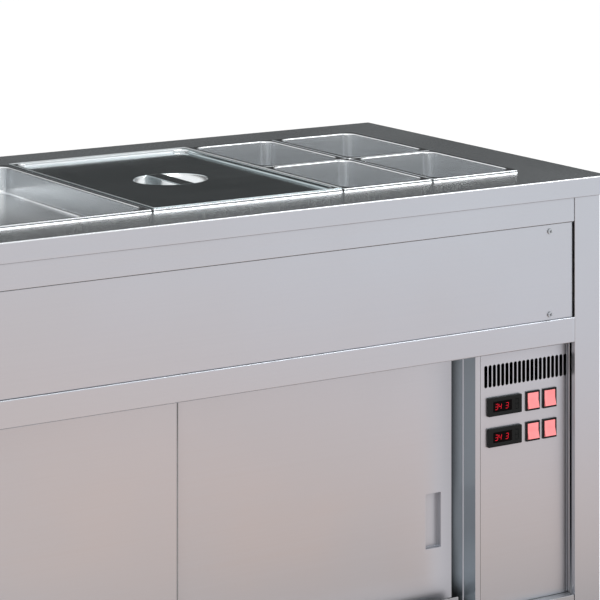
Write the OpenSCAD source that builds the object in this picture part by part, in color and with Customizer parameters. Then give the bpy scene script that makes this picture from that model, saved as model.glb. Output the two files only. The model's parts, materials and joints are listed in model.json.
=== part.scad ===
// Heated serving counter: four gastronorm wells in a stainless worktop over a hot cupboard.
// Origin: floor level, centre of the footprint. +X along the counter, +Y away from the operator, +Z up.

/* [Overall size] */
// Height of the worktop above the floor
unit_h = 850; // [830:5:950]
// Worktop margin beyond the pans at each end
end_margin = 100; // [100:5:140]
// Worktop margin in front of and behind the pans
edge_margin = 110; // [110:5:140]
// Clear height under the base deck
leg_h = 150; // [120:5:170]

/* [Worktop and rails] */
// Height of the worktop's folded edge
top_fold = 30; // [24:1:36]
// Height of the rail under the worktop
upper_rail_h = 38; // [30:1:42]
// Height of the plain fascia in front of the wells
fascia_h = 150; // [145:1:160]
// Height of the rail above the doors
mid_rail_h = 40; // [36:1:46]
// Overhang of the worktop past each end panel
end_overhang = 18; // [10:1:25]
// Thickness of a double-skinned end panel
end_t = 48; // [40:1:52]

/* [Sheet metal] */
// Sheet thickness of the cabinet
sheet = 1.5; // [1:0.1:2]
// Sheet thickness of the doors
door_sheet = 1.2; // [1:0.1:1.5]
// Sheet thickness of the pans and the lid
pan_sheet = 1; // [0.8:0.1:1.2]

/* [Pans] */
// Depth of the two open full-size pans
open_pan_depth = 40; // [40:1:100]
// Depth of the lidded full-size pan
lidded_pan_depth = 100; // [65:1:120]
// Depth of the four quarter-size pans
quarter_pan_depth = 100; // [65:1:120]
// Width of a pan's rim along its sides
pan_rim = 8.5; // [8:0.5:12]
// Width of a pan's rim at its ends
pan_end_rim = 8; // [7:0.5:14]
// Height of the turned-down lip round a pan's rim
pan_lip = 3.2; // [3:0.1:5]
// Diameter of the hand recess in the lid
lid_bowl_d = 120; // [90:2:124]
// Width of the strap across the hand recess
lid_strap_w = 26; // [16:1:30]

/* [Doors] */
// Thickness of a sliding door
door_t = 24; // [20:1:26]
// Length by which the two closed doors overlap
door_overlap = 26; // [20:2:40]
// Width of the control bay, and of the service bay at the other end
bay_w = 175; // [165:1:185]

/* [Controls] */
// Depth of the control panel behind the front of the rails
panel_recess = 20; // [18:1:24]
// Number of ventilation slots above the controls
vent_count = 20; // [8:1:20]
// Resting tilt of the rocker switches
rocker_tilt = 8; // [5:1:9]

/* [Hidden] */
$fn = 48;
eps = 1;

// Gastronorm module
gn_w = 325;
gn_l = 530;
well_count = 4;
pan_gap = 1;
full_pan_r = 25;
quarter_pan_r = 21;

// Colours
steel = [0.74, 0.75, 0.77];
dark_steel = [0.36, 0.37, 0.38];
black_plastic = [0.08, 0.08, 0.09];
red_plastic = [0.95, 0.45, 0.46];
grey_plastic = [0.55, 0.56, 0.58];
wool = [0.80, 0.74, 0.55];
element = [0.42, 0.38, 0.36];

// Plan
half_w = (well_count * gn_w + 2 * end_margin) / 2;
half_d = (gn_l + 2 * edge_margin) / 2;
x_end = half_w - end_overhang;
x_in = x_end - end_t;
x_jamb = x_in - bay_w;
x_bay = (x_jamb + x_in) / 2;
y_face = half_d - 2;
y_panel = -y_face + panel_recess;
rail_depth = 16;
back_y = 300;
fold_return = 14;
seam = 0.6;

// Heights
z_top = unit_h;
z_fold = z_top - top_fold;
z_fascia_top = z_fold - upper_rail_h;
z_fascia = z_fascia_top - fascia_h;
z_rail_top = z_fascia - 1.5;
z_rail = z_rail_top - mid_rail_h;
deck_h = 40;
z_deck = leg_h + deck_h;

// Well
cut_w = well_count * gn_w - 12;
cut_l = gn_l - 10;
cut_r = 24;
tank_depth = 190;
z_tank = z_top - tank_depth;
bar_w = 14;
bar_h = 12;
bar_x = [-gn_w, 0, gn_w, 1.5 * gn_w];
drain_y = -220;
element_r = 4;

// Doors: the left one runs in the front track, the right one in the rear track
track_pitch = door_t + 8;
y_door_left = y_panel + 34 + door_t / 2;
y_door_right = y_door_left + track_pitch;
jamb_t = sheet;
door_side_gap = 0.3;
opening = x_jamb - jamb_t - door_side_gap;
door_w = opening + door_overlap / 2;
roller_r = 9;
roller_w = 8;
axle_r = 2.5;
z_track_top = z_rail_top - 2;
z_ledge = z_track_top - 2 * roller_r - 2;
z_axle = z_ledge + roller_r;
z_door_top = z_ledge - 5.5;
z_door = z_deck + 6;
roller_offset = door_w / 2 - 60;

// Controls
controller_w = 62;
controller_h = 29;
controller_pitch = 48;
controller_x = x_jamb + 53;
z_controls = z_rail - 86.5;
switch_x = [x_jamb + 107, x_jamb + 139];
bezel_w = 25.6;
bezel_h = 30.4;
bezel_t = 2.5;
rocker_w = 20;
rocker_r = 12.6;
rocker_pin_r = 1.5;
key_w = 5.4;
key_h = 7.4;
key_pitch = 8;
key_x = controller_x + 21.5;
case_t = 5;
vent_pitch = 7.9;
vent_w = 6;
vent_h = 35;
z_vent = z_rail - 38.5;

// Services
valve_z = z_deck + 310;
pipe_r = 13.5;
pipe_bore_r = 11;
tail_r = 15;
tail_l = 36;
ball_r = 16;
spindle_r = 5;
fan_z = z_deck + 330;
fan_r = 58;
leg_x = x_in + 3;
leg_y = half_d - 53;
leg_r = 25;
foot_stem_r = 8;

// ---- Shared shapes ----

// Box between two opposite corners
module slab(a, b) {
    translate(a) cube(b - a);
}

// Flat rounded rectangle about the origin, with true arcs
module rounded_outline(w, l, r) {
    square([w - 2 * r, l], center = true);
    square([w, l - 2 * r], center = true);
    for (sx = [-1, 1], sy = [-1, 1])
        translate([sx * (w / 2 - r), sy * (l / 2 - r)]) circle(r);
}

module rounded_block(w, l, h, r) {
    linear_extrude(h) rounded_outline(w, l, r);
}

// Cylinder along +Y from y0 to y1
module rod_y(r, x, z, y0, y1) {
    translate([x, y0, z]) rotate([-90, 0, 0]) cylinder(r = r, h = y1 - y0);
}

// Cylinder along +X from x0 to x1
module rod_x(r, y, z, x0, x1) {
    translate([x0, y, z]) rotate([0, 90, 0]) cylinder(r = r, h = x1 - x0);
}

// Upright slot with round ends, cut through a panel at depth y
module slot_cut(x, z, w, h, y) {
    slab([x - w / 2, y - 5, z - h / 2 + w / 2], [x + w / 2, y + 5, z + h / 2 - w / 2]);
    for (s = [-1, 1])
        rod_y(w / 2, x, z + s * (h - w) / 2, y - 5, y + 5);
}

// Channel along X that opens towards +Y, with its web at the front
module front_channel(half_len, y, z0, z1, depth) {
    difference() {
        slab([-half_len, y, z0], [half_len, y + depth, z1]);
        slab([-half_len - eps, y + sheet, z0 + sheet], [half_len + eps, y + depth + eps, z1 - sheet]);
    }
}

// ---- Cabinet shell ----

module worktop() {
    color(steel) difference() {
        slab([-half_w, -half_d, z_fold], [half_w, half_d, z_top]);
        slab([-half_w + sheet, -half_d + sheet, z_fold + sheet],
             [half_w - sheet, half_d - sheet, z_top - sheet]);
        slab([-half_w + fold_return, -half_d + fold_return, z_fold - eps],
             [half_w - fold_return, half_d - fold_return, z_fold + sheet + eps]);
        translate([0, 0, z_fold]) rounded_block(cut_w, cut_l, top_fold + eps, cut_r);
    }
}

// Double-skinned end panel, with the shadow groove behind its front edge
module end_panel() {
    groove_y = -y_face + 9.4;
    groove_w = 6.4;
    color(steel) difference() {
        slab([x_in, -y_face, leg_h], [x_end, y_face, z_fold]);
        slab([x_in + sheet, -y_face + sheet, leg_h - eps], [x_end - sheet, y_face - sheet, z_fold + eps]);
        slab([x_in - eps, groove_y, leg_h - eps], [x_in + 2 * sheet, groove_y + groove_w, z_fold + eps]);
    }
}

module upper_rails() {
    color(steel) for (m = [0, 1])
        mirror([0, m, 0]) front_channel(x_in - seam, -y_face + 1, z_fascia_top, z_fold, 25);
}

module fascia_panel() {
    half_len = x_in - 3.4;
    y0 = -y_face + 3;
    color(steel) difference() {
        front_channel(half_len, y0, z_rail_top + 0.3, z_fascia_top - seam, 14);
        for (p = screw_points())
            rod_y(2.2, p[0], p[1], y0 - eps, y0 + sheet + eps);
    }
}

// Screw centres on the fascia, as [x, z]
function screw_points() = [
    for (sx = [-1, 1], z = [z_fascia_top - 11.5, z_fascia + 7.5]) [sx * (x_in - 46), z]
];

module fascia_screws() {
    y0 = -y_face + 3;
    head_r = 4.3;
    color(dark_steel) for (p = screw_points()) {
        difference() {
            rod_y(head_r, p[0], p[1], y0 - 2.2, y0);
            for (a = [0, 90])
                translate([p[0], y0 - 2.2, p[1]]) rotate([0, a + 30, 0]) cube([5.2, 2.4, 1.1], center = true);
        }
        rod_y(2, p[0], p[1], y0, y0 + 10);
    }
}

module mid_rail_front() {
    color(steel) front_channel(x_in - seam, -y_face - 0.5, z_rail, z_rail_top, rail_depth);
}

module back_panel() {
    color(steel) difference() {
        slab([-x_in + seam, y_face - 20, leg_h + seam], [x_in - seam, y_face, z_fascia_top - seam]);
        slab([-x_in - eps, y_face - 21, leg_h + seam + sheet],
             [x_in + eps, y_face - sheet, z_fascia_top - seam - sheet]);
    }
}

// Floor of the cupboard, folded down all round so that its front is the lowest rail
module base_deck() {
    y1 = y_face - 22;
    color(steel) difference() {
        slab([-x_in + seam, -y_face + 1, leg_h], [x_in - seam, y1, z_deck]);
        slab([-x_in + seam + sheet, -y_face + 1 + sheet, leg_h - eps],
             [x_in - seam - sheet, y1 - sheet, z_deck - sheet]);
        translate([-x_bay, drain_y, leg_h]) cylinder(r = pipe_r + 2.5, h = deck_h + eps);
        translate([x_bay, 250, leg_h]) cylinder(r = 8.2, h = deck_h + eps);
    }
}

// Back and roof of the heated cupboard, one folded sheet
module cupboard_liner() {
    z_roof = z_track_top - 4;
    y_roof = y_door_right + track_pitch / 2 + 1;
    color(steel) difference() {
        union() {
            slab([-x_jamb + seam, back_y, z_deck + seam], [x_jamb - seam, back_y + sheet, z_roof]);
            slab([-x_jamb + seam, y_roof, z_roof - sheet], [x_jamb - seam, back_y + sheet, z_roof]);
        }
        rod_y(8, 0, fan_z, back_y - eps, back_y + sheet + eps);
        for (s = [-1, 1])
            rod_y(element_r + 0.6, s * 20, fan_z - 78, back_y - eps, back_y + sheet + eps);
    }
}

module cupboard_shelf() {
    z0 = z_deck + 178;
    hx = x_jamb - 9;
    color(steel) difference() {
        slab([-hx, -245, z0], [hx, 250, z0 + 20]);
        slab([-hx + sheet, -245 + sheet, z0 - eps], [hx - sheet, 250 - sheet, z0 + 20 - sheet]);
    }
}

// Walls between the cupboard and the two bays, with door jambs and shelf runners
module partition_wall() {
    z1 = z_track_top - 4;
    y_jamb0 = y_door_left - door_t / 2;
    y_jamb1 = y_door_right + door_t / 2 + 3;
    z_shelf = z_deck + 178;
    slab([x_jamb, y_panel, z_deck], [x_jamb + sheet, back_y + sheet, z1]);
    slab([x_jamb, y_panel, z_deck], [x_jamb + 9, y_panel + sheet, z1]);
    slab([x_jamb - jamb_t, y_jamb0, z_deck + 3], [x_jamb + 0.5, y_jamb1, z_ledge - 3]);
    slab([x_jamb - 22, -240, z_shelf - sheet], [x_jamb + 0.5, 248, z_shelf]);
}

module partition_walls() {
    color(steel) for (m = [0, 1])
        mirror([m, 0, 0]) partition_wall();
}

// Plain bay panel with its ventilation slots
module bay_panel() {
    x0 = x_jamb + 9.6;
    x1 = x_in - seam;
    z1 = z_track_top - 4;
    difference() {
        slab([x0, y_panel, z_deck + seam], [x1, y_panel + 12, z1]);
        slab([x0 - eps, y_panel + sheet, z_deck + seam + sheet], [x1 + eps, y_panel + 13, z1 - sheet]);
        for (i = [0 : vent_count - 1])
            slot_cut(x_bay + 7 + (i - (vent_count - 1) / 2) * vent_pitch, z_vent, vent_w, vent_h, y_panel);
    }
}

module control_panel() {
    color(steel) difference() {
        bay_panel();
        for (row = [0, 1]) {
            z = z_controls - row * controller_pitch;
            slab([controller_x - 29.5, y_panel - eps, z - 12.5],
                 [controller_x + 29.5, y_panel + 5, z + 12.5]);
            for (x = switch_x)
                slab([x - 12.2, y_panel - eps, z - 13.9], [x + 12.2, y_panel + 5, z + 13.9]);
        }
    }
}

module service_panel() {
    color(steel) difference() {
        mirror([1, 0, 0]) bay_panel();
        rod_y(10, -x_bay, valve_z, y_panel - eps, y_panel + 5);
    }
}

// ---- Door running gear ----

// Upper track section for one door, as [y, z] points about the door's centre plane
function track_points(yc) = [
    [yc - 16, z_ledge - 2], [yc - 2.6, z_ledge - 2], [yc - 2.6, z_ledge], [yc - 14.4, z_ledge],
    [yc - 14.4, z_track_top], [yc + 14.4, z_track_top], [yc + 14.4, z_ledge - 2], [yc + 16, z_ledge - 2],
    [yc + 16, z_track_top + 1.6], [yc - 16, z_track_top + 1.6]
];

module door_tracks() {
    half_len = x_jamb - seam;
    color(dark_steel) for (yc = [y_door_left, y_door_right]) {
        translate([-half_len, 0, 0]) rotate([90, 0, 90])
            linear_extrude(2 * half_len) polygon(track_points(yc));
        slab([-half_len + 2, yc - 12, z_deck], [half_len - 2, yc + 12, z_deck + 1.5]);
        slab([-half_len + 2, yc - 1, z_deck], [half_len - 2, yc + 1, z_deck + 12]);
    }
}

// Outer skin of a door whose left edge is at x0, with a pressed finger pull centred on pull_x
module door_skin(x0, yc, pull_x) {
    y0 = yc - door_t / 2;
    z_pull = z_door + 82;
    difference() {
        union() {
            difference() {
                slab([x0, y0, z_door], [x0 + door_w, yc + door_t / 2 - door_sheet - 0.1, z_door_top]);
                slab([x0 + door_sheet, y0 + door_sheet, z_door - eps],
                     [x0 + door_w - door_sheet, yc + door_t / 2, z_door_top - door_sheet]);
            }
            slab([pull_x - 15, y0, z_pull], [pull_x + 15, y0 + 11, z_pull + 88]);
        }
        slab([pull_x - 14, y0 - eps, z_pull + 1], [pull_x + 14, y0 + 10, z_pull + 87]);
        slab([x0 - eps, yc - 2.5, z_door - eps], [x0 + door_w + eps, yc + 2.5, z_door + 8]);
        for (s = [-1, 1])
            slab([x0 + door_w / 2 + s * roller_offset - 17, yc - 2, z_door_top - 2 * door_sheet],
                 [x0 + door_w / 2 + s * roller_offset + 17, yc + 2, z_door_top + eps]);
    }
}

// Inner sheet of a door, with the two hangers that carry its rollers
module door_liner(x0, yc) {
    y1 = yc + door_t / 2;
    slab([x0 + 0.4, y1 - door_sheet, z_door + 2], [x0 + door_w - 0.4, y1, z_door_top - 0.4]);
    for (s = [-1, 1]) {
        x = x0 + door_w / 2 + s * roller_offset;
        slab([x - 15, yc - 1, z_door_top - 45], [x + 15, yc + 1, z_axle + 6]);
        slab([x - 15, yc - 1, z_door_top - 47], [x + 15, y1 - door_sheet / 2, z_door_top - 45]);
        rod_y(axle_r, x, z_axle, yc - 12, yc);
        rod_y(axle_r + 1.6, x, z_axle, yc - 13.4, yc - 11.6);
    }
}

// Grooveless roller on its axle; side is -1 or 1 from the door's middle
module door_roller(x_door, side, yc) {
    x = x_door + door_w / 2 + side * roller_offset;
    color(grey_plastic) difference() {
        rod_y(roller_r, x, z_axle, yc - 11, yc - 11 + roller_w);
        rod_y(axle_r + 0.06, x, z_axle, yc - 12, yc);
    }
}

x_door_left = -opening;
x_door_right = opening - door_w;

module door_left_skin() {
    color(steel) door_skin(x_door_left, y_door_left, x_door_left + 34);
}

module door_left_liner() {
    color(dark_steel) door_liner(x_door_left, y_door_left);
}

module door_right_skin() {
    color(steel) door_skin(x_door_right, y_door_right, x_door_right + door_w - 34);
}

module door_right_liner() {
    color(dark_steel) door_liner(x_door_right, y_door_right);
}

// ---- Well ----

module well_tank() {
    color(steel) difference() {
        union() {
            difference() {
                translate([0, 0, z_tank])
                    rounded_block(cut_w + 2 * sheet, cut_l + 2 * sheet, tank_depth - sheet, cut_r + sheet);
                translate([0, 0, z_tank + sheet]) rounded_block(cut_w, cut_l, tank_depth, cut_r);
            }
            difference() {
                translate([0, 0, z_top - 2 * sheet]) rounded_block(cut_w + 24, cut_l + 24, sheet, cut_r);
                translate([0, 0, z_top - 2 * sheet - eps])
                    rounded_block(cut_w, cut_l, sheet + 2 * eps, cut_r);
            }
            for (x = bar_x, s = [-1, 1])
                slab([x - 7, s > 0 ? cut_l / 2 - 10 : -cut_l / 2 - 0.5, z_top - bar_h - 3],
                     [x + 7, s > 0 ? cut_l / 2 + 0.5 : -cut_l / 2 + 10, z_top - bar_h]);
        }
        translate([-x_bay, drain_y, z_tank - eps]) cylinder(r = pipe_bore_r, h = 4);
        for (y = element_rows(), s = [-1, 1])
            rod_x(element_r + 0.2, y + s * 50, z_tank + 22, cut_w / 2 - 4, cut_w / 2 + 4);
        rod_x(3.2, 0, z_tank + 35, cut_w / 2 - 4, cut_w / 2 + 4);
    }
}

// Centre line of each immersed element loop
function element_rows() = [-120, 120];

// Slab wool under the tank and up its long sides
module well_insulation() {
    hx = x_in - 45;
    y_in = cut_l / 2 + sheet + 0.5;
    color(wool) difference() {
        slab([-hx, -y_in - 18, z_tank - 23], [hx, y_in + 18, z_top - 12]);
        slab([-hx - eps, -y_in, z_tank - 0.5], [hx + eps, y_in, z_top]);
        translate([-x_bay, drain_y, z_tank - 30]) cylinder(r = 24, h = 40);
    }
}

module well_heater() {
    x0 = -cut_w / 2 + 150;
    z = z_tank + 22;
    color(element) for (y = element_rows()) {
        for (s = [-1, 1]) {
            rod_x(element_r, y + s * 50, z, x0, cut_w / 2 + 16);
            rod_x(8, y + s * 50, z, cut_w / 2 + sheet, cut_w / 2 + 6);
        }
        translate([x0, y, z]) rotate([0, 0, 90])
            rotate_extrude(angle = 180) translate([50, 0]) circle(element_r);
    }
}

module pan_crossbars() {
    hl = cut_l / 2 - 0.5;
    color(steel) for (x = bar_x) difference() {
        slab([x - bar_w / 2, -hl, z_top - bar_h], [x + bar_w / 2, hl, z_top]);
        slab([x - bar_w / 2 + sheet, -hl - eps, z_top - bar_h - eps],
             [x + bar_w / 2 - sheet, hl + eps, z_top - sheet]);
    }
}

module overflow_pipe() {
    color(steel) translate([-x_bay, drain_y, z_tank + sheet]) difference() {
        union() {
            cylinder(r = pipe_r, h = 70);
            cylinder(r = pipe_r + 3, h = 6);
        }
        translate([0, 0, -eps]) cylinder(r = pipe_bore_r, h = 80);
    }
}

// Outlet pipe with the ball valve's body, and a plain tail for a hose below the deck
module drain_pipe() {
    z_tail = leg_h - 42;
    color(steel) difference() {
        union() {
            translate([-x_bay, drain_y, z_tail]) cylinder(r = pipe_r, h = z_tank - z_tail);
            translate([-x_bay, drain_y, z_tail]) cylinder(r = tail_r, h = tail_l);
            translate([-x_bay, drain_y, z_tank - 9]) cylinder(r = 22, h = 9);
            translate([-x_bay, drain_y, valve_z - 26]) cylinder(r = 22, h = 52);
            rod_y(9, -x_bay, valve_z, drain_y - 34, drain_y);
        }
        translate([-x_bay, drain_y, z_tail - eps]) cylinder(r = pipe_bore_r, h = z_tank);
        translate([-x_bay, drain_y, valve_z]) sphere(ball_r + 0.3);
        rod_y(spindle_r + 0.08, -x_bay, valve_z, drain_y - 40, drain_y);
    }
}

// Ball, spindle and quarter-turn lever, shown closed
module drain_valve_handle() {
    y_lever = y_panel - 12;
    color(black_plastic) union() {
        translate([-x_bay, drain_y, valve_z]) difference() {
            sphere(ball_r);
            rotate([0, 90, 0]) cylinder(r = pipe_bore_r, h = 2 * ball_r + 2, center = true);
        }
        rod_y(spindle_r, -x_bay, valve_z, y_lever, drain_y - pipe_bore_r - 1);
        rod_y(9, -x_bay, valve_z, y_lever - 4, y_lever + 4);
        slab([-x_bay, y_lever - 3, valve_z - 6], [-x_bay + 58, y_lever + 1, valve_z + 6]);
        rod_y(6, -x_bay + 58, valve_z, y_lever - 3, y_lever + 1);
    }
}

module temperature_probes() {
    color(steel) {
        rod_x(3, 0, z_tank + 35, cut_w / 2 - 60, cut_w / 2 + 14);
        rod_x(6, 0, z_tank + 35, cut_w / 2 + sheet, cut_w / 2 + 6);
        rod_y(3, 120, fan_z, back_y - 50, back_y);
        rod_y(6, 120, fan_z, back_y - 5, back_y);
    }
}

// ---- Cupboard heating ----

module cupboard_heater() {
    loop_r = 80;
    start = 14;
    color(element) {
        translate([0, back_y - 22, fan_z]) rotate([90, -90 + start, 0])
            rotate_extrude(angle = 360 - 2 * start) translate([loop_r, 0]) circle(element_r);
        for (s = [-1, 1])
            rod_y(element_r, s * 20, fan_z - 78, back_y - 22, back_y + 18);
    }
}

module fan_motor() {
    color(dark_steel) difference() {
        union() {
            rod_y(32, 0, fan_z, back_y + 6, back_y + 50);
            slab([-48, back_y + sheet, fan_z - 20], [48, back_y + 6, fan_z + 48]);
        }
        rod_y(4.05, 0, fan_z, back_y - eps, back_y + 40);
        rod_y(34, 0, fan_z, back_y - eps, back_y + 3.6);
    }
}

module fan_wheel() {
    blades = 12;
    color(grey_plastic) union() {
        rod_y(4, 0, fan_z, back_y - 34, back_y + 39);
        rod_y(11, 0, fan_z, back_y - 34, back_y - 10);
        rod_y(fan_r, 0, fan_z, back_y - 12, back_y - 10);
        for (i = [0 : blades - 1])
            translate([0, 0, fan_z]) rotate([0, i * 360 / blades, 0])
                slab([30, back_y - 34, -1], [fan_r - 2, back_y - 11, 1]);
    }
}

module heating_elements() {
    well_heater();
    cupboard_heater();
}

// ---- Electrics ----

// Mounting rail on the bay wall with two contactors and a row of terminals
module electrics() {
    x0 = x_jamb + sheet;
    z0 = z_deck + 130;
    color(grey_plastic) {
        slab([x0, -180, z0], [x0 + 7.5, 140, z0 + 35]);
        for (y = [-160, -105])
            slab([x0 + 7.5, y, z0 - 20], [x0 + 82, y + 45, z0 + 55]);
        for (i = [0 : 9])
            slab([x0 + 7.5, -40 + i * 9, z0 - 8], [x0 + 50, -40 + i * 9 + 8, z0 + 43]);
        slab([x0 + 7.5, 70, z0 - 15], [x0 + 105, 130, z0 + 50]);
    }
}

// Supply lead from the supply box: gland in the deck, drop to the floor, bend, run and plug
module power_cable() {
    r = 5;
    bend = 30;
    run = 230;
    z_up = z_deck + 147;
    color(black_plastic) translate([x_bay, 250, 0]) {
        translate([0, 0, z_deck]) cylinder(r = 13, h = 10, $fn = 6);
        translate([0, 0, z_deck - sheet - 9]) cylinder(r = 13, h = 9, $fn = 6);
        translate([0, 0, bend + r]) cylinder(r = r, h = z_up - 2 * bend - r);
        translate([0, -bend, z_up - bend]) rotate([90, 0, 90])
            rotate_extrude(angle = 90) translate([bend, 0]) circle(r);
        rod_y(r, 0, z_up, -120, -bend);
        translate([-bend, 0, bend + r]) rotate([90, 0, 0]) rotate([0, 0, -90])
            rotate_extrude(angle = 90) translate([bend, 0]) circle(r);
        rotate([0, 0, 180]) {
            rod_x(r, 0, r, bend, run);
            rod_x(19, 0, 20, run - 4, run + 56);
            for (a = [0, 120, 240])
                rod_x(2.5, 9 * cos(a), 20 + 9 * sin(a), run + 50, run + 74);
        }
    }
}

// ---- Controls ----

// Both thermostat controllers: bevelled front, window recess, key openings and body
module controller_case(z) {
    y0 = y_panel - case_t;
    difference() {
        union() {
            slab([controller_x - controller_w / 2, y0, z - controller_h / 2],
                 [controller_x + controller_w / 2, y_panel, z + controller_h / 2]);
            slab([controller_x - 29, y_panel - 1, z - 12], [controller_x + 29, y_panel + 48, z + 12]);
        }
        slab([controller_x - 22.5, y0 - eps, z - 8], [controller_x + 12, y0 + 1.5, z + 8]);
        slab([key_x - key_w / 2 - 0.3, y0 - eps, z - key_pitch],
             [key_x + key_w / 2 + 0.3, y0 + 4.5, z + key_pitch]);
    }
}

module controller_cases() {
    color(black_plastic) for (row = [0, 1])
        controller_case(z_controls - row * controller_pitch);
}

module display_windows() {
    y0 = y_panel - case_t;
    color([0.02, 0.02, 0.03]) for (row = [0, 1]) {
        z = z_controls - row * controller_pitch;
        slab([controller_x - 22.3, y0 + 0.3, z - 7.8], [controller_x + 11.8, y0 + 1.4, z + 7.8]);
    }
}

// Lit bars of a seven-segment numeral, as [x, z, upright] in half-heights
function bars(n) = n == 3
    ? [[0, 1, 0], [0, 0, 0], [0, -1, 0], [1, 0.5, 1], [1, -0.5, 1]]
    : [[-1, 0.5, 1], [0, 0, 0], [1, 0.5, 1], [1, -0.5, 1]];

// Numeral of height h centred at x, z, in front of a display window
module numeral(n, x, z, h) {
    y = y_panel - case_t + 0.15;
    t = 0.9;
    half_h = h / 2 - t / 2;
    half_w = half_h * 0.52;
    for (b = bars(n)) {
        long = b[2] == 1 ? half_h - t - 0.2 : 2 * half_w - t - 0.2;
        bw = b[2] == 1 ? t : long;
        bh = b[2] == 1 ? long : t;
        translate([x + b[0] * half_w, y, z + b[1] * half_h]) cube([bw, 0.3, bh], center = true);
    }
}

// Set temperature on each controller
module display_digits() {
    color([1, 0.1, 0.1]) for (row = [0, 1]) {
        z = z_controls - row * controller_pitch;
        numeral(3, controller_x - 16.5, z, 9.2);
        numeral(4, controller_x - 10, z, 9.2);
        numeral(3, controller_x + 3, z, 9.2);
    }
}

// One key; side is 1 for the upper key of the pair
module controller_key(row, side) {
    y0 = y_panel - case_t;
    z = z_controls - row * controller_pitch + side * key_pitch / 2;
    color(black_plastic)
        slab([key_x - key_w / 2, y0 + 0.5, z - key_h / 2], [key_x + key_w / 2, y0 + 3, z + key_h / 2]);
}

function rocker_y() = y_panel - bezel_t + 2.2;

module rocker_bezel(x, z) {
    difference() {
        union() {
            slab([x - bezel_w / 2, y_panel - bezel_t, z - bezel_h / 2],
                 [x + bezel_w / 2, y_panel, z + bezel_h / 2]);
            slab([x - 12, y_panel - 1, z - 13.7], [x + 12, y_panel + 26, z + 13.7]);
        }
        slab([x - 10.3, y_panel - bezel_t - eps, z - 12.8], [x + 10.3, y_panel + 16, z + 12.8]);
        rod_x(rocker_pin_r + 0.06, rocker_y(), z, x - 11.4, x + 11.4);
    }
}

module rocker_bezels() {
    color(black_plastic) for (row = [0, 1], x = switch_x)
        rocker_bezel(x, z_controls - row * controller_pitch);
}

// Rocker with a shallow V front; its top edge rests pressed in
module rocker(column, row) {
    x = switch_x[column];
    z = z_controls - row * controller_pitch;
    color(red_plastic) translate([x, rocker_y(), z]) rotate([-rocker_tilt, 0, 0]) {
        intersection() {
            translate([-rocker_w / 2, 0, 0]) rotate([0, 90, 0]) cylinder(r = rocker_r, h = rocker_w);
            translate([-rocker_w / 2, 0, 0]) rotate([90, 0, 90]) linear_extrude(rocker_w)
                polygon([[-4.2, -15], [-2.2, 0], [-4.2, 15], [7, 15], [7, -15]]);
        }
        rod_x(rocker_pin_r, 0, 0, -11.2, 11.2);
    }
}

// ---- Pans and lid ----

// Pan about the origin in plan, hung from rim level; w and l are the module size
module gn_pan(x, y, w, l, depth, r) {
    bw = w - 2 * pan_rim;
    bl = l - 2 * pan_end_rim;
    fw = w - pan_gap;
    fl = l - pan_gap;
    color(steel) translate([x, y, z_top]) difference() {
        union() {
            translate([0, 0, -depth]) rounded_block(bw, bl, depth + pan_lip, r);
            rounded_block(fw, fl, pan_lip, 5);
        }
        translate([0, 0, -depth + pan_sheet])
            rounded_block(bw - 2 * pan_sheet, bl - 2 * pan_sheet, depth + 2 * pan_lip, r - pan_sheet);
        difference() {
            translate([0, 0, -eps])
                rounded_block(fw - 2 * pan_sheet, fl - 2 * pan_sheet, pan_lip - pan_sheet + eps, 4);
            translate([0, 0, -2 * eps]) rounded_block(bw, bl, pan_lip + 4 * eps, r);
        }
    }
}

function module_x(i) = (i - (well_count - 1) / 2) * gn_w;

module full_pan(i, depth) {
    gn_pan(module_x(i), 0, gn_w, gn_l, depth, full_pan_r);
}

// Quarter pan in the last module; sx and sy pick its corner
module quarter_pan(sx, sy) {
    gn_pan(module_x(3) + sx * gn_w / 4, sy * gn_l / 4, gn_w / 2, gn_l / 2, quarter_pan_depth, quarter_pan_r);
}

// Section of the hand recess: outside curve down to the middle, inside curve back up
function bowl_points(r, depth, t) = concat(
    [for (a = [0 : 15 : 90]) [r * cos(a), -depth * sin(a)]],
    [for (a = [90 : -15 : 0]) [(r - t) * cos(a), -(depth - t) * sin(a)]]
);

// Pressed lid: raised bead round a flat rim, sunk panel, hand recess and the strap across it
module lid() {
    w = gn_w - 2;
    l = gn_l - 2;
    iw = gn_w - 2 * pan_rim - 2 * pan_sheet - 6;
    il = gn_l - 2 * pan_end_rim - 2 * pan_sheet - 6;
    step = 5;
    bead_w = 4;
    bead_h = 0.8;
    step_r = 20;
    t = pan_sheet;
    bowl_r = lid_bowl_d / 2;
    color(dark_steel) translate([module_x(2), 0, z_top + pan_lip]) union() {
        difference() {
            rounded_block(w, l, t + bead_h, 5);
            translate([0, 0, t]) rounded_block(w - 2 * bead_w, l - 2 * bead_w, t, 4);
            translate([0, 0, -eps]) rounded_block(iw - 2 * t, il - 2 * t, t + 2 * eps, step_r - t);
        }
        difference() {
            translate([0, 0, -step]) rounded_block(iw, il, step + t, step_r);
            translate([0, 0, -step + t]) rounded_block(iw - 2 * t, il - 2 * t, step + 2 * t, step_r - t);
            translate([0, 0, -step - eps]) cylinder(r = bowl_r - t, h = 10);
        }
        translate([0, 0, -step + t / 2]) rotate_extrude() polygon(bowl_points(bowl_r, 20, t));
        slab([-lid_strap_w / 2, -bowl_r + t / 2, -step], [lid_strap_w / 2, bowl_r - t / 2, -step + t]);
    }
}

// ---- Legs ----

module leg_tubes() {
    color(steel) for (sx = [-1, 1], sy = [-1, 1]) translate([sx * leg_x, sy * leg_y, 0]) difference() {
        union() {
            translate([0, 0, 42]) cylinder(r = leg_r, h = leg_h - 42);
            translate([-40, -40, leg_h - 4]) cube([80, 80, 4]);
        }
        translate([0, 0, 62]) cylinder(r = leg_r - 2, h = leg_h - 66);
        translate([0, 0, 40]) cylinder(r = foot_stem_r + 0.08, h = 40);
    }
}

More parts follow.
